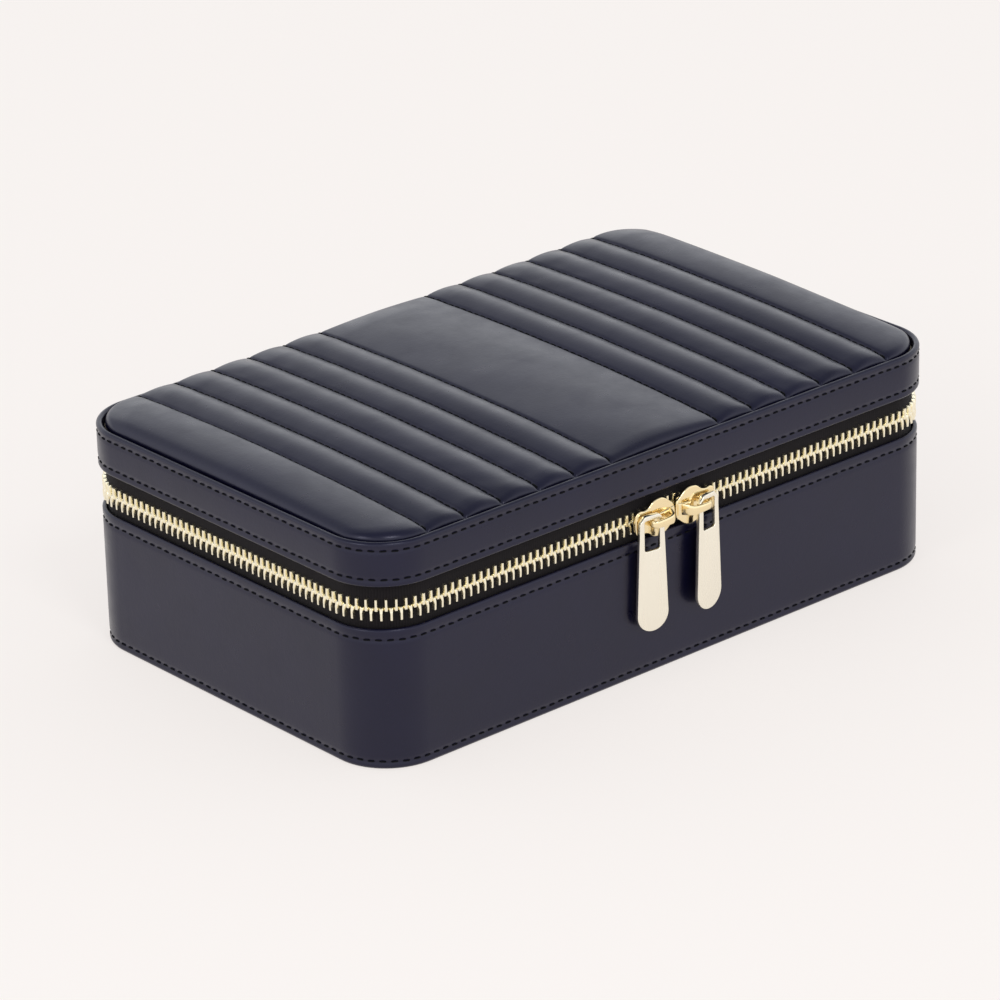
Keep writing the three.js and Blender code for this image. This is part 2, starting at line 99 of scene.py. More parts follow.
AZIMUTH, ELEVATION, ROLL = np.radians([-40.97, 23.44, -1.34])
TARGET = np.array([0, 0, 0.033])
DISTANCE = 1.508
back = np.array([np.sin(AZIMUTH) * np.cos(ELEVATION), -np.cos(AZIMUTH) * np.cos(ELEVATION),
                 np.sin(ELEVATION)])
level = np.array([np.cos(AZIMUTH), np.sin(AZIMUTH), 0])
upright = np.cross(back, level)
right = np.cos(ROLL) * level + np.sin(ROLL) * upright
up = np.cross(back, right)
camera_data = bpy.data.cameras.new("camera")
camera_data.sensor_width = 36
camera_data.lens = 184.2
camera_data.shift_x = -0.016
camera_data.shift_y = -0.0089
camera = bpy.data.objects.new("camera", camera_data)
bpy.context.scene.collection.objects.link(camera)
pose = np.eye(4)
pose[:3, 0], pose[:3, 1], pose[:3, 2] = right, up, back
pose[:3, 3] = TARGET + back * DISTANCE
camera.matrix_world = Matrix(pose.tolist())
bpy.context.scene.camera = camera
bpy.context.scene.view_settings.view_transform = "Standard"


# The case's leather: smooth calf dyed a navy that is close to black, with a fine grain, a waxed
# finish and faint clouding. One material serves the base, lid, piping, pad and hinge.
def shader(name, color, roughness, metallic=0.0, **sockets):
    """A material with a Principled shader; extra sockets are given by name with _ for spaces."""
    material = bpy.data.materials.new(name)
    material.use_nodes = True
    principled = material.node_tree.nodes["Principled BSDF"]
    principled.inputs["Base Color"].default_value = (*color, 1)
    principled.inputs["Roughness"].default_value = roughness
    principled.inputs["Metallic"].default_value = metallic
    for key, value in sockets.items():
        principled.inputs[key.replace("_", " ")].default_value = value
    return material


def texture(material, kind, scale, source="Object", stretch=(1, 1, 1), **values):
    """A texture node on the piece's own coordinates, at scale cells per metre."""
    nodes, links = material.node_tree.nodes, material.node_tree.links
    coords = nodes.new("ShaderNodeTexCoord")
    mapping = nodes.new("ShaderNodeMapping")
    mapping.inputs["Scale"].default_value = stretch
    node = nodes.new("ShaderNodeTex" + kind)
    node.inputs["Scale"].default_value = scale
    for key, value in values.items():
        node.inputs[key].default_value = value
    links.new(coords.outputs[source], mapping.inputs["Vector"])
    links.new(mapping.outputs["Vector"], node.inputs["Vector"])
    return node


def ramp(material, fac, low, high, start=0.3, end=0.7):
    """Colours or greys from low to high as fac goes from start to end."""
    node = material.node_tree.nodes.new("ShaderNodeValToRGB")
    material.node_tree.links.new(fac, node.inputs["Fac"])
    for element, position, value in zip(node.color_ramp.elements, (start, end), (low, high)):
        element.position = position
        element.color = (*value, 1) if hasattr(value, "__len__") else (value, value, value, 1)
    return node.outputs["Color"]


def bump(material, *layers):
    """Chains height layers, each (output, strength, distance in metres), onto the shader's normal."""
    nodes, links = material.node_tree.nodes, material.node_tree.links
    normal = None
    for height_output, strength, distance in layers:
        node = nodes.new("ShaderNodeBump")
        node.inputs["Strength"].default_value = strength
        node.inputs["Distance"].default_value = distance
        links.new(height_output, node.inputs["Height"])
        if normal:
            links.new(normal, node.inputs["Normal"])
        normal = node.outputs["Normal"]
    links.new(normal, nodes["Principled BSDF"].inputs["Normal"])


def plug(material, output, socket):
    """Feeds an output into the shader's socket of that name."""
    material.node_tree.links.new(output, material.node_tree.nodes["Principled BSDF"].inputs[socket])


navy_leather = shader("navy_leather", (0.0015, 0.0013, 0.012), 0.33, Specular_IOR_Level=0.46,
                      Specular_Tint=(0.78, 0.77, 1, 1), Coat_Weight=0.06, Coat_Roughness=0.2)
clouds = texture(navy_leather, "Noise", 32, Detail=4.0, Roughness=0.6)
clouded_navy = ramp(navy_leather, clouds.outputs["Fac"], (0.001, 0.0009, 0.009), (0.002, 0.0018, 0.014))
plug(navy_leather, clouded_navy, "Base Color")
wear = texture(navy_leather, "Noise", 120, Detail=6.0, Roughness=0.65)
plug(navy_leather, ramp(navy_leather, wear.outputs["Fac"], 0.26, 0.38), "Roughness")
pores = texture(navy_leather, "Voronoi", 1500)
creases = texture(navy_leather, "Noise", 420, Detail=5.0, Roughness=0.6)
bump(navy_leather, (creases.outputs["Fac"], 0.09, 0.0003), (pores.outputs["Distance"], 0.08, 0.00012))

thread = shader("navy_thread", (0.0008, 0.0008, 0.002), 0.75, Specular_IOR_Level=0.15)
strands = texture(thread, "Wave", 2600, Distortion=1.5)
bump(thread, (strands.outputs["Fac"], 0.4, 0.0001))


# Base leather: one band of hide wrapped round the walls, turned under at the foot and in over
# the mouth, and sewn down below the mouth and above the foot.
MM = 0.001
outer_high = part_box("base_wall_leather")[1]
HALF_LENGTH, HALF_DEPTH = outer_high.x, outer_high.y
BASE_TOP = outer_high.z
CORNER = 18 * MM
HIDE = 1.5 * MM
BASE_STITCH_DROP = 3.2 * MM
FOOT_RADIUS = 1.2 * MM
FOOT_STITCH_Z = 2.4 * MM


def outline(corner_steps=20, straight_step=4 * MM, half_gap=None):
    """Stations round the case, anticlockwise from the back left corner: (centre, direction).
    A point at some inset is centre + direction * (CORNER - inset). With half_gap the path is open:
    it starts and ends on the back, that far from the middle."""
    cx, cy = HALF_LENGTH - CORNER, HALF_DEPTH - CORNER
    corners = [(-cx, cy), (-cx, -cy), (cx, -cy), (cx, cy)]
    centres, directions = [], []
    for k, corner in enumerate(corners):
        angles = np.pi / 2 * (1 + k + np.linspace(0, 1, corner_steps))
        centres.append(np.tile(corner, (corner_steps, 1)))
        directions.append(np.c_[np.cos(angles), np.sin(angles)])
        following = np.array(corners[(k + 1) % 4])
        if k < 3 or half_gap is None:
            count = int(np.linalg.norm(following - corner) / straight_step)
            share = (np.arange(1, count) / count)[:, None]
            centres.append(corner + (following - corner) * share)
            directions.append(np.tile(directions[-1][-1], (count - 1, 1)))
    centres, directions = np.vstack(centres), np.vstack(directions)
    if half_gap is not None:
        runs = np.linspace(half_gap, cx, 4)[:3]
        start = np.c_[-runs, np.full(3, cy)]
        end = np.c_[runs[::-1], np.full(3, cy)]
        centres = np.vstack([start, centres, end])
        directions = np.vstack([[(0, 1)] * 3, directions, [(0, 1)] * 3])
    return centres, directions


def surface(name, points, faces, material, uv=None):
    """A smooth mesh object from points and faces, with an optional uv pair for each point."""
    mesh = bpy.data.meshes.new(name)
    mesh.from_pydata(np.asarray(points, float).tolist(), [], [list(face) for face in faces])
    if uv is not None:
        corner_points = np.zeros(len(mesh.loops), np.int32)
        mesh.loops.foreach_get("vertex_index", corner_points)
        layer = mesh.uv_layers.new(name="UVMap")
        layer.data.foreach_set("uv", np.asarray(uv, np.float32)[corner_points].ravel())
    mesh.polygons.foreach_set("use_smooth", [True] * len(mesh.polygons))
    mesh.materials.append(material)
    mesh.update()
    piece = bpy.data.objects.new(name, mesh)
    bpy.context.scene.collection.objects.link(piece)
    return piece


def grid_faces(rows, columns, wrap_rows=False, wrap_columns=False):
    """Quads of a rows by columns grid of points, with either direction closing on itself."""
    i = np.arange(rows if wrap_rows else rows - 1)[:, None]
    j = np.arange(columns if wrap_columns else columns - 1)[None, :]
    a = i * columns + j
    b = (i + 1) % rows * columns + j
    c = (i + 1) % rows * columns + (j + 1) % columns
    d = i * columns + (j + 1) % columns
    return np.stack([a, b, c, d], -1).reshape(-1, 4)


def tidy(piece, weld=None):
    """Closes a piece's open ends, welds points nearer than weld and turns its faces outwards."""
    shape = bmesh.new()
    shape.from_mesh(piece.data)
    if weld:
        bmesh.ops.remove_doubles(shape, verts=shape.verts, dist=weld)
    bmesh.ops.holes_fill(shape, edges=shape.edges)
    bmesh.ops.recalc_face_normals(shape, faces=shape.faces)
    shape.to_mesh(piece.data)
    shape.free()
    return piece


def carry(name, section, stations, material, closed=True):
    """A closed section of (inset, z) points carried round the stations. The uv is the distance
    along the path and round the section, in metres."""
    centres, directions = stations
    section = np.asarray(section, float)
    inset, z = section[:, 0], section[:, 1]
    rows, columns = len(centres), len(section)
    reach = (CORNER - inset)[None, :, None]
    flat = centres[:, None, :] + directions[:, None, :] * reach
    points = np.concatenate([flat, np.broadcast_to(z[None, :, None], (rows, columns, 1))], -1)
    faces = grid_faces(rows, columns, wrap_rows=closed, wrap_columns=True)
    along = np.r_[0, np.cumsum(np.linalg.norm(np.diff(flat[:, 0], axis=0), axis=1))]
    around = np.r_[0, np.cumsum(np.hypot(np.diff(inset), np.diff(z)))]
    uv = np.stack(np.broadcast_arrays(along[:, None], around[None, :]), -1).reshape(-1, 2)
    return tidy(surface(name, points.reshape(-1, 3), faces, material, uv))


def arc(inset, z, radius, start, end, count=7):
    """Points on an arc round (inset, z); angles in degrees, 0 outwards and 90 up."""
    angles = np.radians(np.linspace(start, end, count))
    return np.c_[inset - radius * np.cos(angles), z + radius * np.sin(angles)]


def sewn_dip(section, levels, depth=0.3 * MM, spread=0.8 * MM):
    """Presses the outer face in along each sewn line, where the thread pulls the hide down."""
    section = section.copy()
    for z in levels:
        section[:, 0] += depth * np.exp(-(((section[:, 1] - z) / spread) ** 2))
    return section


def fine_levels(low, high, marks, step=4 * MM):
    """Levels from low to high, closer together round each mark."""
    levels = list(np.linspace(low, high, max(2, int((high - low) / step))))
    for mark in marks:
        levels += [mark + offset * MM for offset in (-1.5, -1, -0.6, -0.3, 0, 0.3, 0.6, 1, 1.5)]
    return np.array(sorted(v for v in set(levels) if low <= v <= high))


def finished(piece, body, material_slot, *nodes):
    """Hides the CAD nodes a piece stands for and attaches it to the body it rides on. material_slot, the slot
    its finish comes from, is not used.
    """
    if nodes:
        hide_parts(*nodes)
    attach(piece, body)
    return piece


EDGE = 0.75 * MM
base_stitch_z = BASE_TOP - BASE_STITCH_DROP
levels = fine_levels(FOOT_RADIUS + 0.1 * MM, BASE_TOP - EDGE, [FOOT_STITCH_Z, base_stitch_z])
foot = arc(FOOT_RADIUS, FOOT_RADIUS, FOOT_RADIUS, -90, -5, 9)
outer_face = sewn_dip(np.c_[np.zeros(len(levels)), levels], [FOOT_STITCH_Z, base_stitch_z])
lip = arc(EDGE, BASE_TOP - EDGE, EDGE, 15, 165, 8)
inner_side = [(HIDE, BASE_TOP - 2 * EDGE), (HIDE, 4 * MM), (HIDE + 0.2 * MM, 2 * MM), (2.2 * MM, HIDE)]
base_section = np.vstack([foot, outer_face, lip, inner_side])
base_leather = carry("base_leather", base_section, outline(), navy_leather)
finished(base_leather, "base", "leather", "base_wall_leather")


def walk(points, pitch, closed=True):
    """Evenly spaced places, pitch apart, along a line of points, with the direction at each."""
    points = np.asarray(points, float)
    if closed:
        points = np.vstack([points, points[:1]])
    steps = np.linalg.norm(np.diff(points, axis=0), axis=1)
    along = np.r_[0, np.cumsum(steps)]
    count = max(1, int(round(along[-1] / pitch)))
    at = (np.arange(count) + 0.5) * along[-1] / count
    places = np.stack([np.interp(at, along, points[:, k]) for k in range(3)], -1)
    ahead = np.stack([np.interp(at + 0.2 * MM, along, points[:, k]) for k in range(3)], -1)
    behind = np.stack([np.interp(at - 0.2 * MM, along, points[:, k]) for k in range(3)], -1)
    headings = ahead - behind
    return places, headings / np.linalg.norm(headings, axis=1)[:, None]


def repeated(name, shape, places, ahead, outward, material):
    """Copies of one small closed shape at each place: its x runs ahead and its z outward."""
    shape_points, shape_faces = shape
    side = np.cross(outward, ahead)
    axes = np.stack([ahead, side, outward], 1)
    points = places[:, None, :] + np.einsum("pk,nkj->npj", shape_points, axes)
    faces = (np.arange(len(places)) * len(shape_points))[:, None, None] + shape_faces[None]
    faces = faces.reshape(-1, shape_faces.shape[1])
    return tidy(surface(name, points.reshape(-1, 3), faces, material))


def stitch_shape(length=2.5 * MM, radius=0.25 * MM, rise=0.1 * MM, sink=0.5 * MM):
    """One stitch: a round thread that bows up in the middle and dives into a hole at each end."""
    rings, sides = 8, 6
    t = np.linspace(-1, 1, rings)[:, None]
    angle = np.arange(sides)[None, :] * 2 * np.pi / sides
    girth = radius * np.sqrt(np.clip(1.02 - t ** 8, 0.02, 1))
    x = np.broadcast_to(t * length / 2, (rings, sides))
    y = girth * np.cos(angle)
    z = rise - sink * t ** 4 + girth * np.sin(angle)
    return np.stack([x, y, z], -1).reshape(-1, 3), grid_faces(rings, sides, wrap_columns=True)


STITCH_PITCH = 3.3 * MM
THREAD_SUNK = 0.3 * MM


def sew_round(name, inset, z, body):
    """A row of stitches round the case at some inset and height, slightly uneven as machine
    stitching on a curved edge is."""
    centres, directions = outline()
    flat = centres + directions * (CORNER - inset)
    places, ahead = walk(np.c_[flat, np.full(len(flat), z)], STITCH_PITCH)
    count = np.arange(len(places))
    places[:, 2] += 0.06 * MM * np.sin(count * 2.4) + 0.04 * MM * np.sin(count * 5.1)
    ahead[:, 2] += 0.05 * np.sin(count * 3.7)
    ahead /= np.linalg.norm(ahead, axis=1)[:, None]
    outward = np.cross(ahead, (0, 0, 1))
    outward /= np.linalg.norm(outward, axis=1)[:, None]
    row = repeated(name, stitch_shape(), places, ahead, outward, thread)
    return finished(row, body, "leather")


sew_round("base_mouth_stitching", THREAD_SUNK, base_stitch_z, "base")
sew_round("base_foot_stitching", THREAD_SUNK, FOOT_STITCH_Z, "base")


# Underside: a separate panel of the same hide, skived thin at its edge. It is glued on last, over
# the turned-under edge of the walls, and the case stands on it.
def stacked(name, levels, material, corner_steps=14):
    """Outlines at (inset, z) levels, bottom first, closed at both ends."""
    centres, directions = outline(corner_steps, straight_step=30 * MM)
    levels = np.asarray(levels, float)
    rows, columns = len(levels), len(centres)
    flat = centres[None] + directions[None] * (CORNER - levels[:, 0])[:, None, None]
    z = np.broadcast_to(levels[:, 1][:, None, None], (rows, columns, 1))
    points = np.concatenate([flat, z], -1).reshape(-1, 3)
    return tidy(surface(name, points, grid_faces(rows, columns, wrap_columns=True), material))


UNDER_INSET = 3 * MM
under_levels = [(UNDER_INSET + 0.3 * MM, 0), (UNDER_INSET, 0.3 * MM), (UNDER_INSET, 1.2 * MM),
                (UNDER_INSET + 0.2 * MM, 1.4 * MM)]
underside = stacked("underside_leather", under_levels, navy_leather)
finished(underside, "base", "leather", "base_bottom_leather")


# Lid leather: a shallow band of the same hide with its lower edge turned in over the zip tape,
# sewn along both edges; its upper edge folds in under the piping. It stands a little proud of
# the base.
lid_low, lid_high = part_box("lid_wall_leather")
LID_BOTTOM, LID_TOP = lid_low.z, lid_high.z
LID_PROUD = 0.5 * MM
lid_lower_stitch = LID_BOTTOM + 2.2 * MM
lid_upper_stitch = LID_TOP - 0.3 * MM
levels = fine_levels(LID_BOTTOM + EDGE, LID_TOP + 1 * MM, [lid_lower_stitch, lid_upper_stitch])
face = sewn_dip(np.c_[np.full(len(levels), -LID_PROUD), levels], [lid_lower_stitch, lid_upper_stitch])
turned = arc(EDGE - LID_PROUD, LID_BOTTOM + EDGE, EDGE, -165, -15, 8)
fold = arc(0.3 * MM, LID_TOP + 1 * MM, 0.75 * MM, 20, 90, 5)
section = np.vstack([turned, face, fold, [(HIDE, LID_TOP), (HIDE, LID_BOTTOM + 3 * EDGE)]])
lid_leather = carry("lid_leather", section, outline(), navy_leather)
finished(lid_leather, "lid", "leather", "lid_wall_leather")
sew_round("lid_lower_stitching", THREAD_SUNK - LID_PROUD, lid_lower_stitch, "lid")
sew_round("lid_upper_stitching", THREAD_SUNK - LID_PROUD, lid_upper_stitch, "lid")


# Piping: a thin cord in a strip of the same hide, standing up round the top edge of the lid. Its
# flange is sewn in between the wall's hide and the pad.
pipe_low, pipe_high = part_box("lid_piping")
PIPE = (pipe_high.z - pipe_low.z) / 2 * 1.15
pipe_z = (pipe_low.z + pipe_high.z) / 2
piping = carry("piping", arc(PIPE - LID_PROUD, pipe_z, PIPE, 0, 345, 24), outline(), navy_leather)
finished(piping, "lid", "leather", "lid_piping")


# Quilted pad: hide over foam, sewn down in straight lines from front to back. The middle is left
# plain; on each side of it run five narrow channels and a wide end panel.
pad_low, pad_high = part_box("lid_quilted_pad")
FIRST_SEAM, SEAM_STEP, SEAMS = 20.8 * MM, 13.6 * MM, 6
PAD_HALF_X, PAD_HALF_Y = pad_high.x, pad_high.y
PAD_CORNER = CORNER - (HALF_LENGTH - PAD_HALF_X)
PAD_EDGE_Z = pad_low.z + 0.9 * MM
PAD_EDGE_RISE = 2.2 * MM
PAD_CROWN, CROWN_WIDTH = 2.1 * MM, 28 * MM
CHANNEL_PUFF, END_PUFF = 1.55 * MM, 1.6 * MM
END_PANEL = 22 * MM
seam_x = np.array(sorted(side * (FIRST_SEAM + SEAM_STEP * k) for side in (-1, 1) for k in range(SEAMS)))


def pad_columns():
    """Columns across the pad: even steps from seam to seam, less a sine of the same length, which
    brings them closer together at the seams and at the ends."""
    marks = np.r_[-PAD_HALF_X, seam_x, PAD_HALF_X]
    columns = []
    for a, b in zip(marks[:-1], marks[1:]):
        count = int(np.clip((b - a) / (0.55 * MM), 20, 46))
        t = np.linspace(0, 1, count, endpoint=False)
        columns.append(a + (b - a) * (t - 0.115 * np.sin(2 * np.pi * t)))
    return np.r_[np.concatenate(columns), PAD_HALF_X]


def rounded_rise(distance, width, power=2.0):
    """0 at an edge rising to 1 at width along a quarter of a rounded square: the root of one less
    the power of the share still to go. It is steep at first, as the side of a stuffed pad is."""
    away = 1 - np.clip(distance / width, 0, 1)
    return np.clip(1 - away ** power, 0, 1) ** (1 / power)


def pad_height(x, y, half_depth):
    """Height over the pad's edge: a steep rounded side, fuller towards the back, a low crown from
    front to back, a puff across each channel that rolls over at its ends, a narrow dip at each
    seam, and small gathers beside the seams."""
    to_end = PAD_HALF_X - np.abs(x)
    to_side = half_depth - np.abs(y)
    side = PAD_EDGE_RISE * rounded_rise(to_side, 2.4 * MM) * rounded_rise(to_end, 3.2 * MM)
    fuller = 0.5 * y / PAD_HALF_Y + 0.5 * x / PAD_HALF_X * (0.5 + 0.5 * y / PAD_HALF_Y)
    side = side * (1 + fuller)
    crown = PAD_CROWN * (1 - np.exp(-np.clip(to_side, 0, None) / CROWN_WIDTH))
    crown = crown * rounded_rise(to_end, 12 * MM)
    index = np.clip(np.searchsorted(seam_x, x), 0, len(seam_x))
    marks = np.r_[-PAD_HALF_X, seam_x, PAD_HALF_X]
    left, width = marks[index], marks[index + 1] - marks[index]
    across = np.clip((x - left) / width, 0, 1)
    channel = CHANNEL_PUFF * np.sin(np.pi * across)
    middle = 1.25 * channel ** 0.8 * MM ** 0.2
    from_seam = np.abs(x) - seam_x[-1]
    panel = END_PUFF * rounded_rise(from_seam, 11 * MM, 1.7)
    panel = panel * (1 - 0.5 * np.clip(from_seam / END_PANEL, 0, 1))
    puff = np.where(from_seam > 0, panel, np.where(np.abs(x) < seam_x[SEAMS], middle, channel))
    fade = np.where(y > 0, rounded_rise(to_side, 11 * MM, 1.5), rounded_rise(to_side, 6 * MM))
    fade = fade * rounded_rise(to_end, 6 * MM)
    to_seam = np.min(np.abs(x[..., None] - seam_x), axis=-1)
    groove = -0.55 * MM * np.exp(-((to_seam / (0.5 * MM)) ** 2)) * rounded_rise(to_side, 4 * MM)
    end_gather = -0.35 * MM * np.exp(-((to_seam / (1.1 * MM)) ** 2)) * np.exp(-to_side / (2.2 * MM))
    gather = 0.09 * MM * np.exp(-to_seam / (3 * MM)) * np.sin(y / (1.7 * MM) + 7 * np.sin(x / (9 * MM)))
    gather = gather * (0.25 + np.exp(-to_side / (12 * MM)))
    waves = 0.055 * MM * (np.sin(y / (7.3 * MM) + 1.3 * np.sin(x / (13 * MM))) * np.sin(x / (4.9 * MM))
                         + 0.8 * np.sin(y / (17 * MM) + x / (8 * MM)))
    return side + crown + puff * fade + groove + end_gather + gather * fade + waves * fade


def make_pad():
    """The pad's upper face as a grid: columns follow x and rows run between the front and back
    edges, which draw in at the round corners; a short skirt and a flat back close it."""
    x = pad_columns()
    straight = PAD_HALF_X - PAD_CORNER
    over = np.clip(np.abs(x) - straight, 0, PAD_CORNER)
    half_depth = PAD_HALF_Y - PAD_CORNER + np.sqrt(np.clip(PAD_CORNER ** 2 - over ** 2, 0, None))
    t = np.linspace(-1, 1, 191)
    v = np.sign(t) * (1 - (1 - np.abs(t)) ** 1.3)
    xx = np.repeat(x[:, None], len(v), 1)
    yy = half_depth[:, None] * v[None, :]
    zz = PAD_EDGE_Z + pad_height(xx, yy, half_depth[:, None])
    rows, columns = xx.shape
    points = np.stack([xx, yy, zz], -1).reshape(-1, 3)
    i, j = np.arange(rows), np.arange(columns)
    rim = np.r_[i * columns, (rows - 1) * columns + j[1:],
                i[::-1][1:] * columns + columns - 1, j[::-1][1:-1]]
    under = points[rim].copy()
    under[:, 2] = pad_low.z
    start, count = len(points), len(rim)
    k = (np.arange(count) + 1) % count
    skirt = np.c_[rim, start + np.arange(count), start + k, rim[k]]
    points = np.vstack([points, under, [(0, 0, pad_low.z)]])
    base_fan = np.c_[start + k, start + np.arange(count), np.full(count, start + count)]
    faces = [*grid_faces(rows, columns).tolist(), *skirt.tolist(), *base_fan.tolist()]
    return tidy(surface("quilted_pad", points, faces, navy_leather))


pad = make_pad()
finished(pad, "lid", "leather", "lid_quilted_pad")

SEAM_PITCH, SEAM_POINTS = 2.9 * MM, 240
places, ahead, outward = [], [], []
for x in seam_x:
    over = np.clip(abs(x) - (PAD_HALF_X - PAD_CORNER), 0, PAD_CORNER)
    half = PAD_HALF_Y - PAD_CORNER + np.sqrt(PAD_CORNER ** 2 - over ** 2)
    y = np.linspace(-half + 0.8 * MM, half - 0.8 * MM, SEAM_POINTS)
    along_seam = np.full(SEAM_POINTS, x)
    z = PAD_EDGE_Z + pad_height(along_seam, y, half)
    at, heading = walk(np.c_[along_seam, y, z + 0.1 * MM], SEAM_PITCH, closed=False)
    places.append(at)
    ahead.append(heading)
    outward.append(np.cross((1, 0, 0), heading))
seam_shape = stitch_shape(2.4 * MM, 0.32 * MM, 0.25 * MM, 0.4 * MM)
seam_stitches = repeated("pad_seam_stitching", seam_shape, np.vstack(places), np.vstack(ahead),
                         np.vstack(outward), thread)
finished(seam_stitches, "lid", "leather")


# Zip tape: two strips of black herringbone tape, each tucked behind the hide on one edge and
# running between the legs of the teeth on the other.
zip_tape = shader("zip_tape", (0.006, 0.004, 0.005), 0.9, Sheen_Weight=0.05, Specular_IOR_Level=0.2)
weave = texture(zip_tape, "Wave", 1500, source="UV", Distortion=0.8)
ribs = texture(zip_tape, "Wave", 1900, source="UV", stretch=(0.2, 1, 1), Distortion=0.5)
ribbed_black = ramp(zip_tape, ribs.outputs["Fac"], (0.005, 0.0035, 0.0045), (0.008, 0.006, 0.007))
plug(zip_tape, ribbed_black, "Base Color")
bump(zip_tape, (weave.outputs["Fac"], 0.3, 0.0001), (ribs.outputs["Fac"], 0.15, 0.00006))

tape_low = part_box("zip_tape_lower")[0]
tape_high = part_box("zip_tape_upper")[1]
teeth_low, teeth_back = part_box("zip_teeth_lower")
teeth_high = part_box("zip_teeth_upper")[1]
CHAIN_Z = (teeth_low.z + teeth_high.z) / 2
CHAIN_MIDDLE = HALF_DEPTH - teeth_back.y + 1.5 * MM
ZIP_END = 80 * MM
TAPE_TAIL = 3.3 * MM
TAPE = 0.6 * MM
TAPE_CLEAR = 0.5 * MM
BEHIND_HIDE = HIDE + 0.3 * MM


def tape_section(hidden_z, free_z):
    """The tape's section: flat behind the hide, then easing outwards along a smooth step to the
    middle of the teeth."""
    t = np.linspace(0, 1, 12)
    z = hidden_z + (free_z - hidden_z) * t
    ease = np.clip((t - 0.45) / 0.5, 0, 1)
    middle = BEHIND_HIDE + TAPE / 2 + (CHAIN_MIDDLE - BEHIND_HIDE - TAPE / 2) * ease ** 2 * (3 - 2 * ease)
    return np.vstack([np.c_[middle - TAPE / 2, z], np.c_[middle + TAPE / 2, z][::-1]])


zip_path = outline(half_gap=ZIP_END - TAPE_TAIL)
for side, hidden, free, body in (("lower", tape_low.z, CHAIN_Z - TAPE_CLEAR, "base"),
                                 ("upper", tape_high.z, CHAIN_Z + TAPE_CLEAR, "lid")):
    tape = carry("tape_" + side, tape_section(hidden, free), zip_path, zip_tape, closed=False)
    finished(tape, body, "zip_tape", "zip_tape_" + side)


# Teeth: stamped metal, gold plated, clamped on the tape's edge one by one. The rows are half a
# pitch apart, so that each head lies between two heads of the other row.
teeth_gold = shader("teeth_gold", (0.95, 0.88, 0.68), 0.2, 1.0)
tarnish = texture(teeth_gold, "Noise", 900, Detail=3.0)
plug(teeth_gold, ramp(teeth_gold, tarnish.outputs["Fac"], 0.15, 0.3), "Roughness")
TOOTH_PITCH = 2.6 * MM
TOOTH_REACH = (teeth_high.z - teeth_low.z) / 2 + 0.15 * MM
PARTING, PARTING_REACH = 1.5 * MM, 4 * MM


def tooth_shape():
    """One tooth, from the end of its legs to its head: eight-sided sections, slim at the legs and
    wider at the head. x runs along the chain, y towards the other row, z outwards."""
    levels = np.array([
        (-TOOTH_REACH, 0.38, 1.1), (-TOOTH_REACH + 0.14 * MM, 0.49, 1.4), (-1.2 * MM, 0.49, 1.5),
        (-0.75 * MM, 0.57, 1.4), (-0.4 * MM, 0.64, 1.3), (0.35 * MM, 0.62, 1.2), (0.66 * MM, 0.42, 0.8),
    ])
    corner = 0.6
    ring = np.array([(1, corner), (corner, 1), (-corner, 1), (-1, corner),
                     (-1, -corner), (-corner, -1), (corner, -1), (1, -corner)])
    half_width, half_depth = levels[:, 1] * MM, levels[:, 2] * MM
    x = half_width[:, None] * ring[None, :, 0]
    z = half_depth[:, None] * ring[None, :, 1]
    y = np.broadcast_to(levels[:, 0][:, None], x.shape)
    caps = np.array([(7, 6, 5, 4), (7, 4, 3, 0), (3, 2, 1, 0)])
    far_caps = caps[:, ::-1] + 8 * (len(levels) - 1)
    faces = np.vstack([grid_faces(len(levels), 8, wrap_columns=True), caps, far_caps])
    return np.stack([x, y, z], -1).reshape(-1, 3), faces


def parting(x, y):
    """How far each row stands off the middle: a bell curve along x that opens the rows between
    the two sliders at the front."""
    return np.where(y < 0, PARTING * np.exp(-((x / PARTING_REACH) ** 2)), 0)


def make_teeth(name, towards, offset, body):
    """One row: every second place along the chain, starting at offset, so that the rows interlock.
    towards is 1 for the row whose heads point up and -1 for the other."""
    centres, directions = outline(corner_steps=40, half_gap=ZIP_END + 0.8 * MM)
    flat = centres + directions * (CORNER - CHAIN_MIDDLE)
    places, ahead = walk(np.c_[flat, np.full(len(flat), CHAIN_Z)], TOOTH_PITCH / 2, closed=False)
    places, ahead = places[offset::2], ahead[offset::2]
    places[:, 2] -= towards * parting(places[:, 0], places[:, 1])
    outward = np.cross(ahead, (0, 0, 1))
    row = repeated(name, tooth_shape(), places, ahead * towards, outward, teeth_gold)
    row.data.set_sharp_from_angle(angle=0.75)
    finished(row, body, "zip_teeth", name.replace("teeth", "zip_teeth"))


make_teeth("teeth_lower", 1, 0, "base")
make_teeth("teeth_upper", -1, 1, "lid")


# End stops: small metal clamps in the same gold as the teeth, pressed over the last of the tape
# at each end of both rows, so that the sliders can't run off.
def rounded_copy(name, node, material, width, segments=3):
    """A copy of a CAD node's shape with its edges rounded by width."""
    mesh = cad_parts[node].data.copy()
    mesh.materials.clear()
    mesh.materials.append(material)
    piece = bpy.data.objects.new(name, mesh)
    bpy.context.scene.collection.objects.link(piece)
    shape = bmesh.new()
    shape.from_mesh(mesh)
    bmesh.ops.remove_doubles(shape, verts=shape.verts, dist=1e-6)
    bmesh.ops.dissolve_limit(shape, angle_limit=0.02, verts=shape.verts, edges=shape.edges)
    sharp = [edge for edge in shape.edges if len(edge.link_faces) == 2 and edge.calc_face_angle() > 0.4]
    bmesh.ops.bevel(shape, geom=sharp, offset=width, segments=segments, affect="EDGES", profile=0.5)
    bmesh.ops.recalc_face_normals(shape, faces=shape.faces)
    shape.to_mesh(mesh)
    shape.free()
    mesh.polygons.foreach_set("use_smooth", [True] * len(mesh.polygons))
    mesh.set_sharp_from_angle(angle=0.6)
    return piece


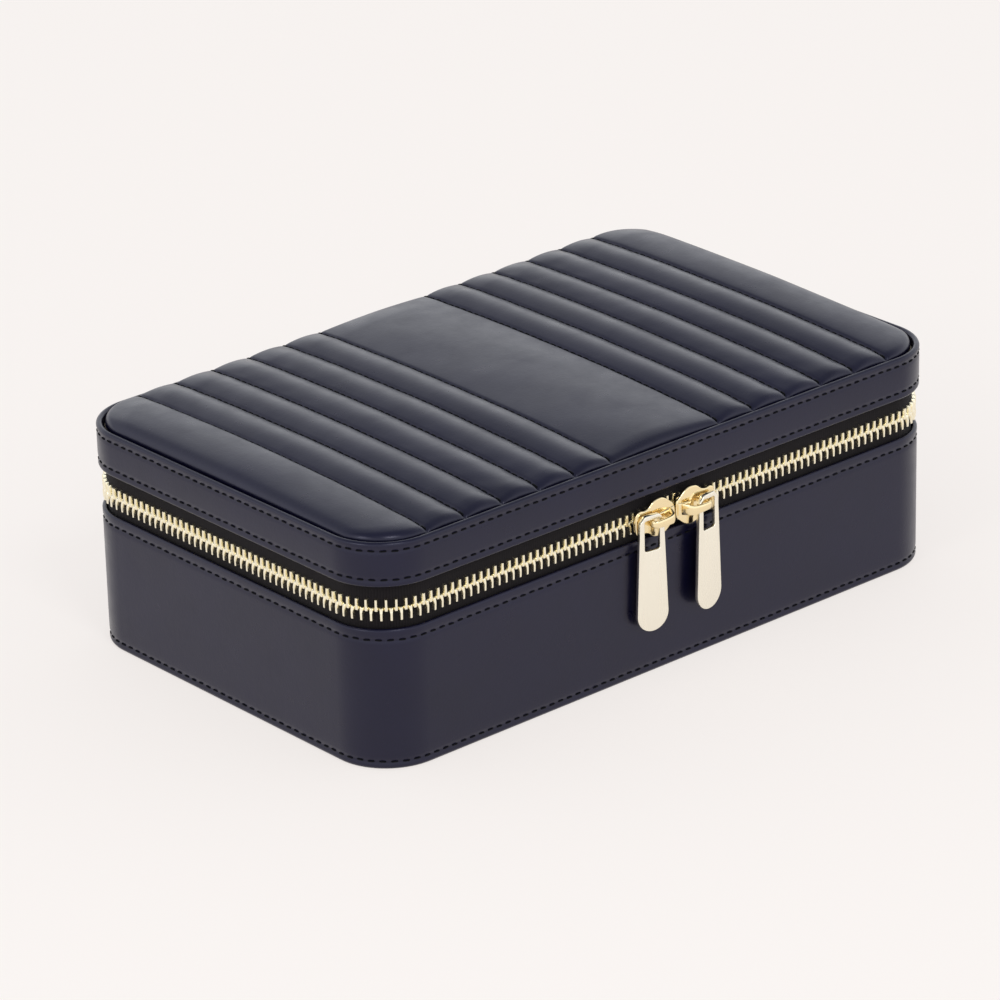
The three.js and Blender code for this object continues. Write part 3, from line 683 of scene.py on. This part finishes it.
for row, body in (("lower", "base"), ("upper", "lid")):
    for side in ("left", "right"):
        stop = rounded_copy("stop_%s_%s" % (row, side), "zip_stop_%s_%s" % (row, side), teeth_gold, 0.6 * MM)
        finished(stop, body, "zip_teeth", "zip_stop_%s_%s" % (row, side))


# Sliders: die-cast and gold plated. Each has a shield-shaped front plate with a rounded edge, a
# plain back plate, a post between the rows and a round-backed bridge that carries the pull.
slider_gold = shader("slider_gold", (0.92, 0.76, 0.46), 0.12, 1.0)
polish = texture(slider_gold, "Noise", 300, Detail=4.0)
plug(slider_gold, ramp(slider_gold, polish.outputs["Fac"], 0.08, 0.2), "Roughness")
casting = texture(slider_gold, "Noise", 260, Detail=2.0)
bump(slider_gold, (casting.outputs["Fac"], 0.25, 0.0004))

front_y = -HALF_DEPTH
slider_low, slider_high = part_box("slider_left")
SLIDER_X = (slider_low.x + slider_high.x) / 2
SLIDER_HALF = (slider_high.x - slider_low.x) / 2
SHOULDER = (slider_high.z - slider_low.z) / 2
BRIDGE_TOP = front_y - slider_low.y


def cut_plate(name, outlines, from_d, to_d, bevel, material):
    """A plate cut to its outlines of (x, z) in millimetres, holes among them, with rounded edges.
    It faces -y and lies between two distances in front of the local origin."""
    curve = bpy.data.curves.new(name, "CURVE")
    curve.dimensions = "2D"
    curve.fill_mode = "BOTH"
    curve.extrude = (to_d - from_d) / 2 - bevel
    curve.bevel_depth = bevel
    curve.bevel_resolution = 3
    curve.offset = -bevel
    for points in outlines:
        spline = curve.splines.new("POLY")
        spline.points.add(len(points) - 1)
        flat = np.c_[points, np.zeros(len(points)), np.ones(len(points))]
        spline.points.foreach_set("co", flat.ravel())
        spline.use_cyclic_u = True
    holder = bpy.data.objects.new(name, curve)
    bpy.context.scene.collection.objects.link(holder)
    bpy.context.view_layer.update()
    mesh = bpy.data.meshes.new_from_object(holder.evaluated_get(bpy.context.evaluated_depsgraph_get()))
    bpy.data.objects.remove(holder)
    turn = Matrix(((1, 0, 0, 0), (0, 0, -1, -(from_d + to_d) / 2), (0, 1, 0, 0), (0, 0, 0, 1)))
    mesh.transform(Matrix.Scale(MM, 4) @ turn)
    mesh.materials.clear()
    mesh.materials.append(material)
    piece = bpy.data.objects.new(name, mesh)
    bpy.context.scene.collection.objects.link(piece)
    return tidy(piece, weld=1e-6)


def smooth_step(a, b, c, d, t):
    """A Catmull-Rom cubic: it goes from b to c as t goes from 0 to 1, and its slope at each is half
    the way between the points on both sides of it."""
    return 0.5 * (2 * b + (c - a) * t + (2 * a - 5 * b + 4 * c - d) * t ** 2
                  + (3 * b - a - 3 * c + d) * t ** 3)


def smooth_loop(points, steps=6):
    """A closed smooth line through the points, with steps places from each to the next."""
    points = np.asarray(points, float)
    before, after, beyond = np.roll(points, 1, 0), np.roll(points, -1, 0), np.roll(points, -2, 0)
    t = np.linspace(0, 1, steps, endpoint=False)[None, :, None]
    line = smooth_step(*(p[:, None, :] for p in (before, points, after, beyond)), t)
    return line.reshape(-1, 2)


def swept(name, path, half_width, half_thickness, side, material, sides=14):
    """A bar swept along a line of points that lies in the plane square to side. Its section is a
    rounded rectangle: cosine and sine, each to the power 0.7, times the half width and thickness."""
    path = np.asarray(path, float)
    heading = np.gradient(path, axis=0)
    heading /= np.linalg.norm(heading, axis=1)[:, None]
    side = np.asarray(side, float)
    normal = np.cross(side, heading)
    angle = np.arange(sides) * 2 * np.pi / sides
    u = np.sign(np.cos(angle)) * np.abs(np.cos(angle)) ** 0.7
    w = np.sign(np.sin(angle)) * np.abs(np.sin(angle)) ** 0.7
    wide = np.broadcast_to(half_width, len(path))[:, None, None]
    thick = np.broadcast_to(half_thickness, len(path))[:, None, None]
    points = path[:, None] + side * wide * u[None, :, None] + normal[:, None] * thick * w[None, :, None]
    faces = grid_faces(len(path), sides, wrap_columns=True)
    return tidy(surface(name, points.reshape(-1, 3), faces, material))


def spline_through(points, count):
    """A smooth open line through the points, with count places along it."""
    points = np.asarray(points, float)
    padded = np.vstack([2 * points[0] - points[1], points, 2 * points[-1] - points[-2]])
    at = np.linspace(0, len(points) - 1 - 1e-9, count)
    i = at.astype(int)
    return smooth_step(padded[i], padded[i + 1], padded[i + 2], padded[i + 3], (at - i)[:, None])


def joined(name, pieces):
    """One object made of several, which it takes the place of."""
    shape = bmesh.new()
    for piece in pieces:
        shape.from_mesh(piece.data)
    mesh = bpy.data.meshes.new(name)
    shape.to_mesh(mesh)
    shape.free()
    mesh.materials.append(pieces[0].data.materials[0])
    mesh.polygons.foreach_set("use_smooth", [True] * len(mesh.polygons))
    mesh.set_sharp_from_angle(angle=0.7)
    for piece in pieces:
        bpy.data.objects.remove(piece)
    whole = bpy.data.objects.new(name, mesh)
    bpy.context.scene.collection.objects.link(whole)
    return whole


def make_slider():
    """The left slider about its own middle, its mouth towards +x, facing -y."""
    half, shoulder = SLIDER_HALF / MM, SHOULDER / MM
    top = [(-half, 1.6), (-half + 0.5, 3.2), (-half + 1.8, 3.75), (-4.2, 3.5), (-2.6, 3.9), (-0.9, 5.2),
           (0.8, shoulder), (2.7, shoulder), (4.4, 4.9), (5.9, 3.7), (7.0, 2.7), (half, 1.3)]
    shield = smooth_loop(top + [(x, -z) for x, z in reversed(top)])
    plate = cut_plate("plate", [shield], 0.3, 1.5, 0.42, slider_gold)
    under_plate = cut_plate("under_plate", [shield], -5.1, -3.9, 0.3, slider_gold)
    post_path = np.c_[np.full(6, 4.0), np.linspace(-0.9, 4.2, 6), np.zeros(6)] * MM
    post = swept("post", post_path, 0.2 * MM, 1.5 * MM, (0, 0, 1), slider_gold)
    top_d = BRIDGE_TOP / MM - 0.55
    line = spline_through([(5.6, -0.9, 0), (5.1, -2.6, 0), (3.9, 0.5 - top_d, 0), (2.2, -top_d, 0),
                           (-0.4, -top_d - 0.05, 0), (-2.1, 0.15 - top_d, 0), (-3.1, 1.0 - top_d, 0),
                           (-3.2, -2.6, 0), (-3.2, -1.0, 0)], 40) * MM
    share = np.linspace(0, 1, len(line))
    widths = np.interp(share, [0, 0.12, 0.35, 0.75, 1], [2.1, 1.75, 1.3, 1.0, 1.0]) * MM
    bridge = swept("bridge", line, widths, 0.6 * MM, (0, 0, 1), slider_gold)
    hump = 0.25 * np.sin(np.linspace(0, np.pi, 10))
    spine = np.c_[np.linspace(1.6, 7.0, 10), -1.45 - hump, np.zeros(10)] * MM
    ridge = swept("ridge", spine, np.linspace(1.3, 2.0, 10) * MM, 0.42 * MM, (0, 0, 1), slider_gold)
    return joined("slider_shape", [plate, under_plate, post, bridge, ridge])


pattern = make_slider()
for side, sign in (("left", 1), ("right", -1)):
    mesh = pattern.data.copy()
    slider = bpy.data.objects.new("zip_slider_" + side, mesh)
    bpy.context.scene.collection.objects.link(slider)
    seat = Matrix.Translation((sign * SLIDER_X, front_y, CHAIN_Z))
    mesh.transform(seat @ Matrix.Scale(sign, 4, (1, 0, 0)))
    if sign < 0:
        mesh.flip_normals()
    finished(slider, side + "_slider", "slider_gold", "slider_" + side)
bpy.data.objects.remove(pattern)


# Pulls: flat paddles stamped from sheet in a paler satin gold, wider and rounded at the end, with a
# slanted-shouldered head and a window through which the slider's bridge passes.
pull_gold = shader("pull_gold", (0.93, 0.88, 0.75), 0.27, 1.0)
satin = texture(pull_gold, "Noise", 500, stretch=(1, 1, 0.06), Detail=4.0)
plug(pull_gold, ramp(pull_gold, satin.outputs["Fac"], 0.24, 0.32), "Roughness")

PULL_TURN = np.radians(8)
PIVOT_X, PIVOT_D = 11.0 * MM, 3.078 * MM


def paddle_outline():
    """The pull's outline about its pivot, in millimetres: half a circle at the end, straight sides
    that draw in to the neck, and a head with slanted shoulders."""
    top, bottom, end_radius, neck = 2.75, -33.25, 5.35, 4.15
    angles = np.radians(np.linspace(180, 360, 33))
    end = np.c_[end_radius * np.cos(angles), bottom + end_radius + end_radius * np.sin(angles)]
    right_side = [(neck, 0.4), (neck - 0.15, 0.9), (2.75, top - 0.35), (2.1, top)]
    left_side = [(-x, z) for x, z in reversed(right_side)]
    return np.vstack([end, right_side, left_side])


def window_outline():
    """The window's outline, its corners rounded off, in millimetres."""
    half, top, bottom, radius = 2.6, 1.25, -8.15, 0.7
    corners = [(half - radius, top - radius, 0), (-half + radius, top - radius, 90),
               (-half + radius, bottom + radius, 180), (half - radius, bottom + radius, 270)]
    points = []
    for x, z, start in corners:
        angles = np.radians(start + np.linspace(0, 90, 6))
        points.append(np.c_[x + radius * np.cos(angles), z + radius * np.sin(angles)])
    return np.vstack(points)


for side, sign in (("left", -1), ("right", 1)):
    pull = cut_plate("zip_pull_" + side, [paddle_outline(), window_outline()], -0.7, 0.7, 0.3, pull_gold)
    seat = Matrix.Translation((sign * PIVOT_X, front_y - PIVOT_D, CHAIN_Z))
    pull.data.transform(seat @ Matrix.Rotation(sign * PULL_TURN, 4, "Z"))
    pull.data.polygons.foreach_set("use_smooth", [True] * len(pull.data.polygons))
    pull.data.set_sharp_from_angle(angle=0.7)
    finished(pull, side + "_pull", "pull_gold", "pull_" + side)


# The case's inner cloth: pale grey and suede-like, with a short nap that lies in soft patches
# where it has been brushed by hand. It is the face of the linings and is wrapped over the foam
# and card of everything else inside but the mirror and the hooks.
suede = shader("grey_suede", (0.42, 0.39, 0.36), 0.9, Sheen_Weight=0.5, Sheen_Roughness=0.5)
nap = texture(suede, "Noise", 2200, Detail=5.0, Roughness=0.7)
brushed = texture(suede, "Noise", 55, Detail=3.0)
brushed_grey = ramp(suede, brushed.outputs["Fac"], (0.36, 0.335, 0.31), (0.46, 0.43, 0.40))
plug(suede, brushed_grey, "Base Color")
bump(suede, (nap.outputs["Fac"], 0.5, 0.00025))


# Hinge: a band of hide outside and a band of suede inside, across the back between the zip's ends.
# On the case both fold round the hinge line as the lid opens; here they are built flat.
def make_band(name, node, material, bulge):
    """A flat band as wide and tall as its CAD node, with rows close enough to fold, and a slight
    bulge in the middle so that it has slack to fold along."""
    low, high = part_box(node)
    rows, columns = 41, 25
    z = np.linspace(low.z, high.z, rows)
    x = np.linspace(low.x, high.x, columns)
    swell = bulge * np.sin(np.pi * np.linspace(0, 1, rows)) ** 4
    front = np.stack(np.broadcast_arrays(x[None, :], (low.y + swell)[:, None], z[:, None]), -1)
    rear = np.stack(np.broadcast_arrays(x[None, :], (high.y + swell)[:, None], z[:, None]), -1)
    loop = np.concatenate([front, rear[:, ::-1]], 1)
    piece = surface(name, loop.reshape(-1, 3), grid_faces(rows, 2 * columns, wrap_columns=True), material)
    tidy(piece)
    piece.data.set_sharp_from_angle(angle=0.8)
    return piece


for name, node, material, material_slot, bulge in (
        ("hinge_band", "hinge_leather", navy_leather, "leather", 0.5 * MM),
        ("hinge_inner_band", "hinge_lining", suede, "suede", 0.0)):
    hinge_band = make_band(name, node, material, bulge)
    low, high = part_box(node)
    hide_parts(node)
    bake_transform(hinge_band)


# Linings: suede glued to the board inside the base and lid. The base's wall lining stands up
# inside the zip as a collar, its top edge folded over.
LINING = 1 * MM


def lining_band(name, node, fold_top):
    """A wall lining round the case in its CAD node's space: its section is a strip as thick as the
    cloth and its paper, with half a circle where an edge is folded round, at the top or bottom."""
    low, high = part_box(node)
    outer = HALF_LENGTH - high.x
    inner, radius = outer + LINING, LINING / 2
    if fold_top:
        top = arc(outer + radius, high.z - radius, radius, 0, 180, 9)
        bottom = [(inner, low.z), (outer, low.z)]
    else:
        top = [(outer, high.z), (inner, high.z)]
        bottom = arc(outer + radius, low.z + radius, radius, 180, 360, 9)
    levels = np.linspace(low.z + radius, high.z - radius, 8)[1:-1]
    rise = np.c_[np.full(6, outer), levels]
    fall = np.c_[np.full(6, inner), levels[::-1]]
    return carry(name, np.vstack([rise, top, fall, bottom]), outline(corner_steps=14), suede)


base_collar = lining_band("base_collar", "base_wall_lining", fold_top=True)
finished(base_collar, "base", "suede", "base_wall_lining")
lid_band = lining_band("lid_side_lining", "lid_wall_lining", fold_top=False)
finished(lid_band, "lid", "suede", "lid_wall_lining")
SOFT_EDGE = 0.2 * MM
for name, node, body in (("floor_cloth", "base_floor_lining", "base"),
                         ("ceiling_cloth", "lid_ceiling_lining", "lid")):
    low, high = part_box(node)
    inset = HALF_LENGTH - high.x
    cloth = stacked(name, [(inset + SOFT_EDGE, low.z), (inset, low.z + SOFT_EDGE),
                           (inset, high.z - SOFT_EDGE), (inset + SOFT_EDGE, high.z)], suede)
    finished(cloth, body, "suede", node)


# Ring rolls: foam sausages covered in suede, flat where they stand, round on top and drawn in
# at their sewn ends. The one at the wall follows the round corner of the case.
WALL_STACK = 7.35 * MM


def make_roll(index):
    """One roll: a squared-off oval section carried from front to back, where it is drawn in at both
    ends and slightly wrinkled along its length. Its front end follows the case's round corner, a
    quarter circle inside the wall's hide, board and lining."""
    low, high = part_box("ring_roll_%d" % index)
    sides, rows = 36, 31
    t = np.linspace(0, 1, rows)
    full = rounded_rise(np.minimum(t, 1 - t), 0.07, 2.4)
    angle = np.linspace(0, 2 * np.pi, sides, endpoint=False)
    half = (high.x - low.x) / 2
    rise = high.z - low.z
    across = np.sign(np.cos(angle)) * np.abs(np.cos(angle)) ** 0.55
    upward = np.where(np.sin(angle) > 0, np.sin(angle) ** 0.9, -np.abs(np.sin(angle)) ** 0.35)
    wrinkle = 1 - 0.012 * np.sin(17 * t[:, None] * np.pi + 3 * np.cos(angle)[None] + index)
    pinch = (0.62 + 0.38 * full)[:, None] * wrinkle
    x = (low.x + high.x) / 2 + half * 0.985 * across[None] * pinch
    body_z = low.z + rise * (0.42 + np.where(upward > 0, 0.575, 0.42) * upward)[None]
    z = low.z + (body_z - low.z) * (0.8 + 0.2 * full)[:, None] * np.where(upward[None] > 0, wrinkle, 1)
    radius = CORNER - WALL_STACK
    beyond = np.clip(-x - (HALF_LENGTH - CORNER), 0, radius * 0.999)
    front = -(HALF_DEPTH - CORNER) - np.sqrt(radius ** 2 - beyond ** 2)
    front = np.maximum(front, low.y)
    y = front + (high.y - front) * t[:, None]
    points = np.stack([x, np.broadcast_to(y, x.shape), z], -1)
    roll = tidy(surface("ring_cushion_%d" % index, points.reshape(-1, 3),
                        grid_faces(rows, sides, wrap_columns=True), suede))
    finished(roll, "base", "suede", "ring_roll_%d" % index)


for index in range(1, 8):
    make_roll(index)


# Dividers: stiff card covered in suede on both sides, so that every edge is soft and round. They
# stand on the floor lining and are glued to it and to each other.
for node in ("long_divider", "back_divider_left", "back_divider_right",
             "front_divider_left", "front_divider_right"):
    finished(rounded_copy(node + "_covered", node, suede, 0.9 * MM, 4), "base", "suede", node)


# Mirror: silvered glass with a fine ground edge, glued to the lid's ceiling, in a card frame that
# is padded and covered in suede.
mirror_glass = shader("mirror_glass", (0.86, 0.88, 0.88), 0.03, 1.0)
specks = texture(mirror_glass, "Noise", 60, Detail=2.0)
plug(mirror_glass, ramp(mirror_glass, specks.outputs["Fac"], 0.015, 0.05), "Roughness")
finished(rounded_copy("mirror_plate", "lid_mirror", mirror_glass, 0.3 * MM, 2), "lid", "mirror", "lid_mirror")
finished(rounded_copy("mirror_surround", "mirror_frame", suede, 0.5 * MM, 4), "lid", "suede", "mirror_frame")


# Necklace hooks: flat strips of the same polished gold as the sliders, bent so that they stand
# down from the lid's ceiling and turn up at the tip. Each is pinned through the lining.
HOOK_HALF_WIDTH, HOOK_HALF_THICKNESS = 1.9 * MM, 0.55 * MM
for index in range(1, 4):
    low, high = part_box("necklace_hook_%d" % index)
    bend = [(high.y - 0.7 * MM, high.z), (high.y - 0.7 * MM, high.z - 2.6 * MM),
            (high.y - 1.4 * MM, low.z + 1.4 * MM), (high.y - 3.0 * MM, low.z + 0.7 * MM),
            (low.y + 1.1 * MM, low.z + 1.2 * MM), (low.y + 0.7 * MM, low.z + 2.6 * MM)]
    line = spline_through(np.c_[np.full(len(bend), (low.x + high.x) / 2), bend], 24)
    hook = swept("hook_%d" % index, line, HOOK_HALF_WIDTH, HOOK_HALF_THICKNESS, (1, 0, 0), slider_gold)
    finished(hook, "lid", "slider_gold", "necklace_hook_%d" % index)


# Necklace pocket: a piece of suede gathered on an elastic at its mouth and sewn down on its other
# three sides to the lid's ceiling, below the hooks, to hold the ends of the chains.
POCKET_CLOTH = 0.5 * MM


def make_pocket():
    """The pocket's cloth: x across, y from the mouth to the bottom; it hangs below the ceiling by a
    depth that is full at the mouth, falls away at the three sewn sides and ripples at the mouth."""
    low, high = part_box("necklace_pocket")
    columns, rows = 141, 33
    u = np.linspace(0, 1, columns)[:, None]
    v = np.linspace(0, 1, rows)[None]
    x = low.x + (high.x - low.x) * u + 0 * v
    y = low.y + (high.y - low.y) * v + 0 * u
    depth = rounded_rise(np.minimum(x - low.x, high.x - x), 7 * MM) * rounded_rise(high.y - y, 12 * MM)
    ripple = 0.7 * MM * np.sin(u * 2 * np.pi * 17) * np.exp(-v / 0.22) * depth
    draw_in = 1.1 * MM * np.exp(-((v - 0.08) / 0.05) ** 2)
    sag = (high.z - low.z - 1.3 * MM) * depth - draw_in * depth + ripple
    sag = np.clip(sag, 0.15 * MM, high.z - low.z - 0.6 * MM)
    inner = np.stack([x, y, high.z - sag], -1)
    outer = inner - np.array([0, 0, POCKET_CLOTH])
    points = np.concatenate([inner.reshape(-1, 3), outer.reshape(-1, 3)])
    count = rows * columns
    sheet = grid_faces(columns, rows)
    i, j = np.arange(columns), np.arange(rows)
    rim = np.r_[i * rows, (columns - 1) * rows + j[1:], i[::-1][1:] * rows + rows - 1, j[::-1][1:-1]]
    around = np.roll(rim, -1)
    edge = np.c_[rim, around, around + count, rim + count]
    faces = np.vstack([sheet, sheet[:, ::-1] + count, edge])
    return tidy(surface("gathered_pocket", points, faces, suede))


pocket = make_pocket()
finished(pocket, "lid", "suede", "necklace_pocket")


# Boards: grey-brown pressed card, cut and glued up into the stiff shell of the base and the lid.
# The hide and the linings are glued on over it, so that it shows only on a cut-open case.
board = shader("pressed_board", (0.26, 0.22, 0.17), 0.85)
fibres = texture(board, "Noise", 700, Detail=6.0, Roughness=0.7)
pressed_brown = ramp(board, fibres.outputs["Fac"], (0.20, 0.17, 0.13), (0.33, 0.28, 0.22))
plug(board, pressed_brown, "Base Color")
bump(board, (fibres.outputs["Fac"], 0.3, 0.0002))
for node in ("base_floor_board", "base_wall_board", "lid_top_board", "lid_wall_board"):
    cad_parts[node].data.materials.clear()
    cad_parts[node].data.materials.append(board)
